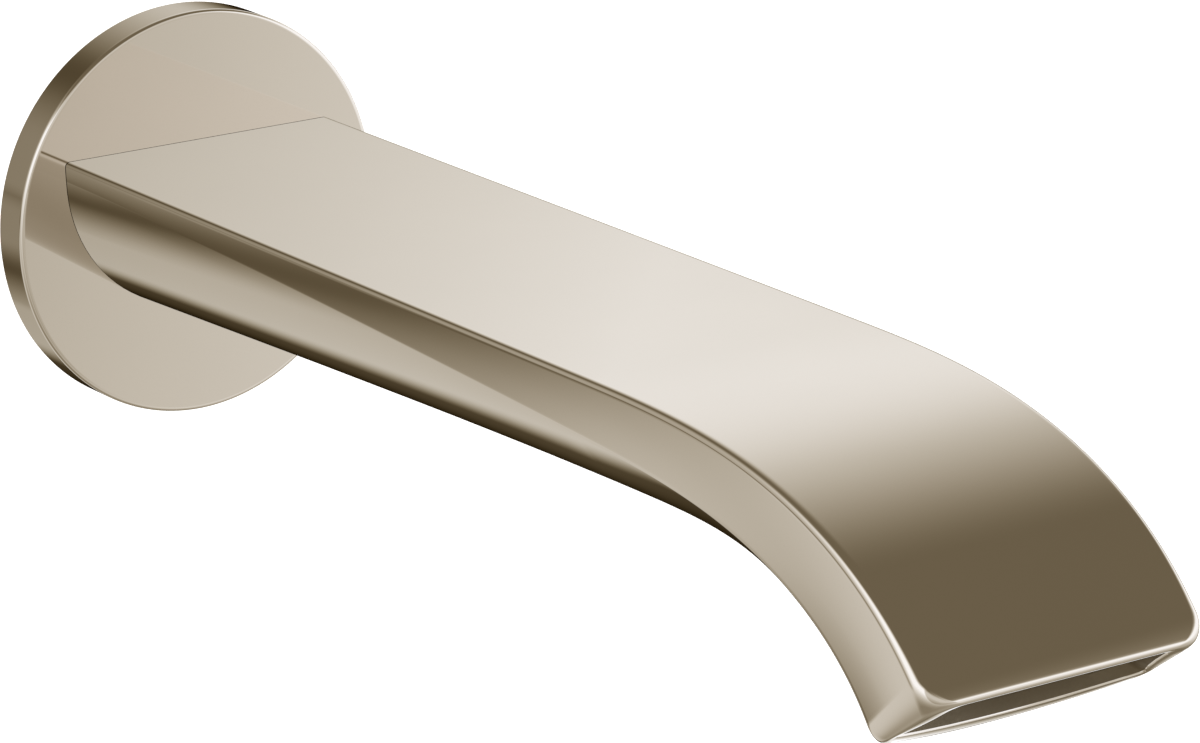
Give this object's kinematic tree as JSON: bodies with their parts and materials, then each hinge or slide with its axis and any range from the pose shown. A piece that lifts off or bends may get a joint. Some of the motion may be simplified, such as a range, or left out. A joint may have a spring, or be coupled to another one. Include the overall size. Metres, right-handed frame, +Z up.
{
  "type": "wall mounted bath spout",
  "caption": "Wall mounted bath spout: round wall disc, wide flat-topped spout bending down to a D-shaped outlet with a pull-out jet insert, on a G 3/4 nipple.",
  "frame": {"origin": "centre of the wall disc's back face, on the wall plane and on the axis of the inlet thread", "axes": "+Y into the wall along the inlet thread, the spout points along -Y, +Z up, X across"},
  "size_m": [0.06, 0.2189, 0.06],
  "materials": {
    "polished_nickel": "mirror polished warm nickel plate on brass",
    "nickel_plastic": "warm nickel plate on plastic",
    "raw_brass": "machined brass",
    "stainless_steel": "plain stainless steel",
    "black_rubber": "smooth moulded rubber",
    "foam_rubber": "closed cell foam",
    "grey_plastic": "moulded plastic",
    "pale_plastic": "moulded plastic"
  },
  "bodies": {
    "spout_on_wall": {"spout_body": "polished_nickel", "connection_bush": "raw_brass", "escutcheon": "polished_nickel", "escutcheon_carrier": "grey_plastic", "escutcheon_grip_ring": "black_rubber", "wall_gasket": "foam_rubber", "wall_nipple": "raw_brass", "thread_o_ring": "black_rubber", "spigot_o_ring_inner": "black_rubber", "spigot_o_ring_outer": "black_rubber"},
    "set_screw": {"set_screw": "stainless_steel"},
    "screw_plug": {"screw_plug": "nickel_plastic"},
    "jet_insert": {"insert_housing": "pale_plastic", "outlet_trim_frame": "nickel_plastic", "jet_grille": "grey_plastic", "lamella_block": "pale_plastic", "sieve_screen": "stainless_steel", "distribution_plate": "grey_plastic", "insert_gasket": "black_rubber", "insert_spring_clips": "stainless_steel"}
  },
  "joints": [
    {"name": "set_screw_travel", "type": "slide", "parent": "spout_on_wall", "child": "set_screw", "axis": [0, 0, -1], "range_m": [0, 0.0011]},
    {"name": "screw_plug_pull", "type": "slide", "parent": "spout_on_wall", "child": "screw_plug", "axis": [0, 0, -1], "range_m": [0, 0.006]},
    {"name": "jet_insert_pull", "type": "slide", "parent": "spout_on_wall", "child": "jet_insert", "axis": [0, -0.5779, -0.8161], "range_m": [0, 0.014]}
  ]
}
